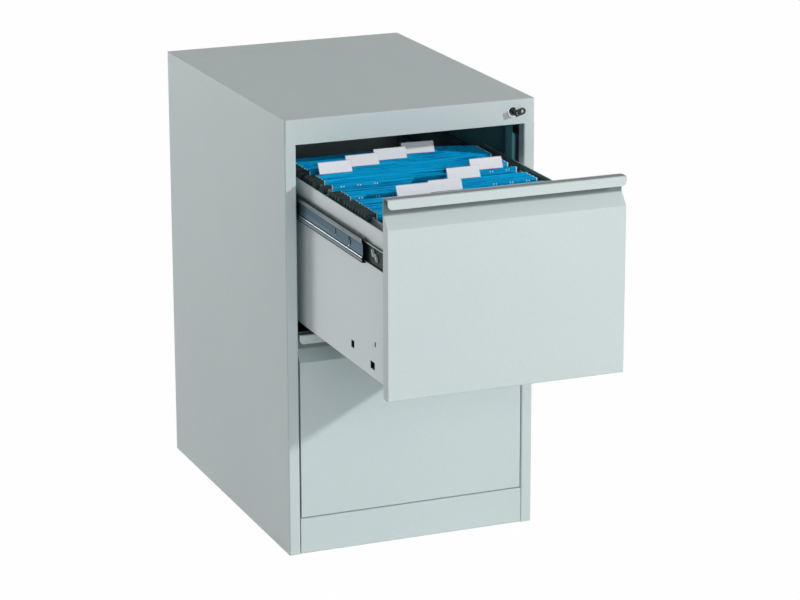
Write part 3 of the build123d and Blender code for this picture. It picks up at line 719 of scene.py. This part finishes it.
cardModel, sleeveModel = modelTab()
for group in places:
    cards, sleeves = [], []
    for index, column in tab["at"][group]:
        left = tab["firstLeft"] + tab["columnPitch"] * column
        place = places[group][index]
        middle = (left + tab["width"] / 2) * mm
        bow = bellyOut(place, 0) * belly(middle, folder["top"] * mm)
        shift = (middle, (folder["faceY"] + place) * mm + bow, 0)
        cards.append(copyPiece(cardModel, "card", shift))
        sleeves.append(copyPiece(sleeveModel, "sleeve", shift))
    cards = joinPieces(cards, f"{group}_tab_cards")
    sleeves = joinPieces(sleeves, f"{group}_tab_sleeves")
    for piece in (cards, sleeves):
        fanRear(piece)
        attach(piece, riders[group])
        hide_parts(f"{group}_tabs")
removePieces(cardModel, sleeveModel)
print("tabs made")


# slides: both moving members are made once for the right-hand side, then mirrored and copied
slide = {
    "axis": {"upper": 587.5, "lower": 274.5},
    "tip": 187.1,             # the middle member's flange ends, from the cabinet's middle
    "length": 500.0,
    "sheet": 0.9,
    "web": 6.0,               # outward from the flange ends
    "lance": (112.0, 2.5, 3.6, 10.0),      # behind the front end, above the axis, wide, high
    "tongue": (1.6, 0.2, 1.3),      # thick, how much narrower than the lance, high
    "hole": (76.0, 14.4, 1.5),      # behind, above, its radius
    "stop": (58.0, 1.5, 8.0, 0.9),      # behind, above, its radius, how far it stands out
    "channel": (185.0, 190.8, 15.2),      # the drawer member's web, its flange ends, half its height
    "channelSheet": 1.0,
    "latch": (50.0, 2.6),      # behind the front end, how far its tab stands out
    "latchBody": (1.8, 7.0, 5.0),
    "latchTail": ((-3.0, -2.4), (-1.6, -3.2)),
    "latchHead": ((2.4, 2.2), (2.0, 3.4), (1.2, 1.2)),
}
# the middle member in section: (outward from the flange end, above the axis, finish of the step to here, a
# lit or shaded copy of the zinc as painted light)
middleLine = [
    (0.0, 19.2, 0), (0.9, 19.2, 4), (2.0, 19.2, 0), (2.5, 18.9, 4), (3.4, 18.9, 4), (3.9, 19.2, 0),
    (4.4, 19.2, 4), (6.3, 19.1, 4), (7.3, 18.6, 4), (7.8, 17.6, 4), (7.8, 16.4, 2), (7.8, 12.6, 2),
    (7.6, 11.8, 3), (6.6, 11.0, 4), (6.0, 10.2, 4), (6.0, -8.0, 1), (6.2, -8.9, 4), (7.3, -10.0, 4),
    (7.7, -10.8, 3), (7.7, -11.6, 4), (7.8, -12.6, 4), (7.8, -16.8, 2), (7.8, -17.8, 4), (7.3, -18.8, 4),
    (6.3, -19.2, 4), (0.0, -19.2, 4),
]
# numbered from 0, as in the sections: plain zinc, the painted shade, half shade and highlight copies, and
# grease with painted shade
memberLitAndShadedFinishes = (zinc, webZincPaintedShade, bandZincPaintedHalfShade, edgeZincPaintedHighlight, greaseAndPaintedShade)


def modelSection(name, line, length):  # a thin sheet drawn through the section's points
    first, second = Vector(line[0][:2]), Vector(line[1][:2])
    middle = (first + second) / 2
    step = second - first
    deselectAll()
    bpy.ops.mesh.primitive_plane_add(
        size=1, location=(middle.x * mm, length / 2 * mm, middle.y * mm),
        rotation=(0, -step.angle_signed(Vector((1, 0))), 0),
    )
    piece = newPiece(name, (step.length, length, 1))
    pick("EDGE", lambda edge: (Vector((edge.x, edge.z)) - second * mm).length < 0.01 * mm)
    for here, there in zip(line[1:], line[2:]):
        pull(there[0] - here[0], 0, there[1] - here[1])
    closePiece(piece, False)
    return piece


def finishSection(piece, line):  # each face takes the finish of the step in the section that it belongs to, so painted light and shade follow the steps
    for face in piece.data.polygons:
        place = Vector((face.center.x, face.center.z)) / mm
        best = 1e9
        for here, there in zip(line, line[1:]):
            start, end = Vector(here[:2]), Vector(there[:2])
            along = min(max((place - start).dot(end - start) / (end - start).length_squared, 0), 1)
            away = (place - start - (end - start) * along).length
            if away < best - 0.02:
                best = away
                face.material_index = there[2]


def cutAway(piece, cutters):
    for cutter in cutters:
        useModifier(piece, "BOOLEAN", object=cutter, operation="DIFFERENCE", solver="EXACT")
    removePieces(*cutters)


def modelMiddleMember():
    line = [(slide["tip"] + out, up, finish) for out, up, finish in middleLine]
    piece = modelSection("middleMember", line, slide["length"])
    useModifier(piece, "SOLIDIFY", thickness=slide["sheet"] * mm, offset=-1)
    web = slide["tip"] + slide["web"]
    behind, above, wide, high = slide["lance"]
    deselectAll()
    bpy.ops.mesh.primitive_cube_add(size=1, location=(web * mm, behind * mm, above * mm))
    lance = newPiece("lanceCut", (6, wide, high))
    bpy.ops.mesh.bevel(offset=0.6 * mm, segments=2, affect="EDGES")
    closePiece(lance)
    behind, above, radius = slide["hole"]
    deselectAll()
    bpy.ops.mesh.primitive_cylinder_add(
        vertices=16, radius=1, depth=1, location=(web * mm, behind * mm, above * mm), rotation=(0, pi / 2, 0),
    )
    hole = newPiece("holeCut", (radius, radius, 8))
    closePiece(hole)
    cutAway(piece, (lance, hole))
    paintPiece(piece, *memberLitAndShadedFinishes)
    finishSection(piece, line)

    behind, above, wide, high = slide["lance"]
    deselectAll()
    bpy.ops.mesh.primitive_cube_add(
        size=1, location=((web + 0.1) * mm, (behind + 0.3) * mm, (above - high / 2 - 0.3) * mm),
    )
    thick, narrower, tall = slide["tongue"]
    tongue = newPiece("lanceTongue", (thick, wide - narrower, tall))
    pick("FACE", lambda middle: middle.x > (web + 0.5) * mm)
    bpy.ops.transform.resize(value=(1, 0.7, 0.5))
    bpy.ops.mesh.select_all(action="SELECT")
    bpy.ops.mesh.bevel(offset=0.25 * mm, segments=2, affect="EDGES")
    closePiece(tongue)

    behind, above, radius, rise = slide["stop"]
    deselectAll()
    bpy.ops.mesh.primitive_cylinder_add(
        vertices=40, radius=1, depth=1, rotation=(0, pi / 2, 0),
        location=((web + rise / 2 - 0.2) * mm, behind * mm, above * mm),
    )
    stop = newPiece("raisedStop", (radius, radius, rise + 0.4))
    bpy.ops.mesh.select_all(action="SELECT")
    bpy.ops.mesh.bisect(
        plane_co=(0, (behind + 0.5) * mm, 0), plane_no=(0, 1, 0), use_fill=True, clear_outer=True,
    )
    pick("FACE", lambda middle: middle.x > (web + rise - 0.3) * mm)
    bpy.ops.mesh.inset(thickness=1.3 * mm, depth=-0.5 * mm)
    closePiece(stop)
    # painted light: the tongue and the stop take the bright edge finish as a painted highlight, the stop's
    # raised face the shaded web finish, and its front-facing sides the dark painted shade
    for part in (tongue, stop):
        for finish in memberLitAndShadedFinishes:
            part.data.materials.append(finish)
        for face in part.data.polygons:
            face.material_index = 3
    for face in stop.data.polygons:
        if face.normal.x > 0.9 and face.area > 20e-6:
            face.material_index = 1
        elif face.normal.y < -0.5 and face.normal.x < 0.5:
            face.material_index = 4
    joinPieces([piece, tongue, stop], "middleMember")
    smoothPiece(piece, 30)
    return piece


def modelDrawerMember():  # a channel whose inside is dark with grease and painted shade, and whose rolled flange ends are painted bright as a highlight
    web, tip, half = slide["channel"]
    line = [
        (tip, half, 0), (tip - 0.7, half, 3), (tip - 2.6, half, 4), (tip - 3.4, half, 2),
        (web + 1.4, half, 4), (web + 0.4, half - 0.4, 4), (web, half - 1.4, 4), (web, 1.4 - half, 4),
        (web + 0.4, 0.4 - half, 4), (web + 1.4, -half, 4), (tip - 0.7, -half, 4), (tip, -half, 3),
    ]
    piece = modelSection("drawerMember", line, slide["length"])
    useModifier(piece, "SOLIDIFY", thickness=slide["channelSheet"] * mm, offset=0)
    paintPiece(piece, *memberLitAndShadedFinishes)
    finishSection(piece, line)
    # painted highlight on the outward faces of the flange ends
    for face in piece.data.polygons:
        if face.normal.x > 0.9 and face.center.x > (tip - 0.2) * mm:
            face.material_index = 3
    smoothPiece(piece, 30)
    return piece


def modelLatch():  # the release lever in the drawer member: an S with a raised finger tab
    behind, thick = slide["latch"]
    wide, long, high = slide["latchBody"]
    web = slide["channel"][0] + slide["channelSheet"] / 2
    outer = (web + wide - 0.1) * mm
    front, rear = (behind - long / 2 + 0.1) * mm, (behind + long / 2 - 0.1) * mm
    deselectAll()
    bpy.ops.mesh.primitive_cube_add(size=1, location=((web + wide / 2) * mm, behind * mm, 0))
    piece = newPiece("slideLatch", (wide, long, high))
    pick("FACE", lambda middle: middle.y < front)
    for deep, up in slide["latchTail"]:
        pull(0, deep, up)
    pick("FACE", lambda middle: middle.y > rear)
    for deep, up in slide["latchHead"]:
        pull(0, deep, up)
    pick("FACE", lambda middle: middle.x > outer and middle.y > rear)
    pull(thick, 0, 0)
    pick("FACE", lambda middle: middle.x > outer and middle.y < front)
    pull(thick - 0.6, 0, 0)
    bpy.ops.mesh.select_all(action="SELECT")
    bpy.ops.mesh.bevel(offset=0.4 * mm, segments=2, affect="EDGES")
    closePiece(piece)
    smoothPiece(piece, 40)
    paintPiece(piece, latchPlastic)
    return piece


middleModel = modelMiddleMember()
channelModel = modelDrawerMember()
latchModel = modelLatch()
for drawer, axis in slide["axis"].items():
    latches = []
    for side, mirror in (("left", True), ("right", False)):
        for model, kind, body in (
            (middleModel, "middle_member", "middle_members"), (channelModel, "drawer_member", "drawer"),
        ):
            name = f"{drawer}_{side}_{kind}"
            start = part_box(name)[0][1]
            member = copyPiece(model, f"{name}_rolled", (0, start, axis * mm), mirror=mirror)
            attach(member, f"{drawer}_{body}")
            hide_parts(name)
        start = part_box(f"{drawer}_{side}_drawer_member")[0][1]
        latches.append(copyPiece(latchModel, "latch", (0, start, axis * mm), mirror=mirror))
    latches = joinPieces(latches, f"{drawer}_slide_latches")
    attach(latches, f"{drawer}_drawer")
    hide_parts(f"{drawer}_slide_bumpers")
removePieces(middleModel, channelModel, latchModel)
print("slides made")


# camera at the photograph's place
camera = {
    "place": (-1.8153, -4.6788, 1.7959),
    "yaw": 22.26,
    "down": 16.22,
    "roll": -0.14,
    "lens": 136.9,
}
view = bpy.data.cameras.new("photoCamera")
view.lens = camera["lens"]
view.sensor_width = 36
view.clip_start = 0.1
view.clip_end = 100
viewer = bpy.data.objects.new("photoCamera", view)
bpy.context.scene.collection.objects.link(viewer)
aim = Euler((radians(90 - camera["down"]), 0, radians(-camera["yaw"]))).to_matrix().to_4x4()
roll = Matrix.Rotation(radians(camera["roll"]), 4, "Z")
viewer.matrix_world = Matrix.Translation(camera["place"]) @ aim @ roll
bpy.context.scene.camera = viewer


# studio: a white floor, a plain world, a key light from the right and soft fill
lamps = {
    "key": {"from": (5.64, -5.19, 3.21), "size": 0.24, "power": 356.0, "colour": (1.0, 0.99, 0.97)},
    "frontFill": {"from": (-0.7, -6.4, 1.7), "size": 3.2, "power": 122.0, "colour": (0.95, 1.0, 1.0)},
    "sideFill": {"from": (-3.2, 3.6, 1.3), "size": 2.2, "power": 90.0, "colour": (1.0, 0.99, 0.98)},
}
target = Vector((0, -0.2, 0.4))      # what every lamp points at
for name, lamp in lamps.items():
    light = bpy.data.lights.new(name, "AREA")
    light.shape = "DISK"
    light.size = lamp["size"]
    light.energy = lamp["power"]
    light.color = lamp["colour"]
    holder = bpy.data.objects.new(name, light)
    bpy.context.scene.collection.objects.link(holder)
    holder.location = lamp["from"]
    holder.rotation_euler = (Vector(lamp["from"]) - target).to_track_quat("Z", "Y").to_euler()
    holder.visible_glossy = name != "key"      # its glare would wash out the top in views from behind

# the floor is mostly plain white to the eye, so that little of its shade shows
studio = {"ambient": 0.16, "ambientTint": (0.97, 0.99, 1.0), "floorWhite": 0.86, "floorPlain": 0.985}


def seenDirectly(tree):  # 1 where the camera, a reflection or a clear piece looks at it
    path = tree.nodes.new("ShaderNodeLightPath")
    outputs = ("Is Camera Ray", "Is Glossy Ray", "Is Transmission Ray")
    total = path.outputs[outputs[0]]
    for output in outputs[1:]:
        most = tree.nodes.new("ShaderNodeMath")
        most.operation = "MAXIMUM"
        tree.links.new(total, most.inputs[0])
        tree.links.new(path.outputs[output], most.inputs[1])
        total = most.outputs[0]
    return total


world = bpy.data.worlds.new("plainStudio")
bpy.context.scene.world = world
world.use_nodes = True
tree = world.node_tree
dim = tree.nodes["Background"]
dim.inputs["Color"].default_value = (*studio["ambientTint"], 1)
dim.inputs["Strength"].default_value = studio["ambient"]
backdrop = tree.nodes.new("ShaderNodeBackground")
backdrop.inputs["Color"].default_value = (*white, 1)
backdrop.inputs["Strength"].default_value = 1.0
either = tree.nodes.new("ShaderNodeMixShader")
tree.links.new(seenDirectly(tree), either.inputs["Fac"])
tree.links.new(dim.outputs["Background"], either.inputs[1])
tree.links.new(backdrop.outputs["Background"], either.inputs[2])
tree.links.new(either.outputs["Shader"], tree.nodes["World Output"].inputs["Surface"])

deselectAll()
bpy.ops.mesh.primitive_plane_add(size=40, location=(0, 0, 0))
floor = bpy.context.object
floor.name = "studioFloor"
floorGrey = (studio["floorWhite"],) * 3
floorPaint, tree, shader = newFinish("studioFloorWhite", floorGrey, 0.9, Specular_IOR_Level=0.0)
glow = tree.nodes.new("ShaderNodeEmission")
glow.inputs["Strength"].default_value = 1.0
share = tree.nodes.new("ShaderNodeMath")
share.operation = "MULTIPLY"
share.inputs[1].default_value = studio["floorPlain"]
either = tree.nodes.new("ShaderNodeMixShader")
tree.links.new(seenDirectly(tree), share.inputs[0])
tree.links.new(share.outputs[0], either.inputs["Fac"])
tree.links.new(shader.outputs["BSDF"], either.inputs[1])
tree.links.new(glow.outputs["Emission"], either.inputs[2])
tree.links.new(either.outputs["Shader"], tree.nodes["Material Output"].inputs["Surface"])
paintPiece(floor, floorPaint)
bpy.context.scene.view_settings.view_transform = "Standard"
print("studio made")
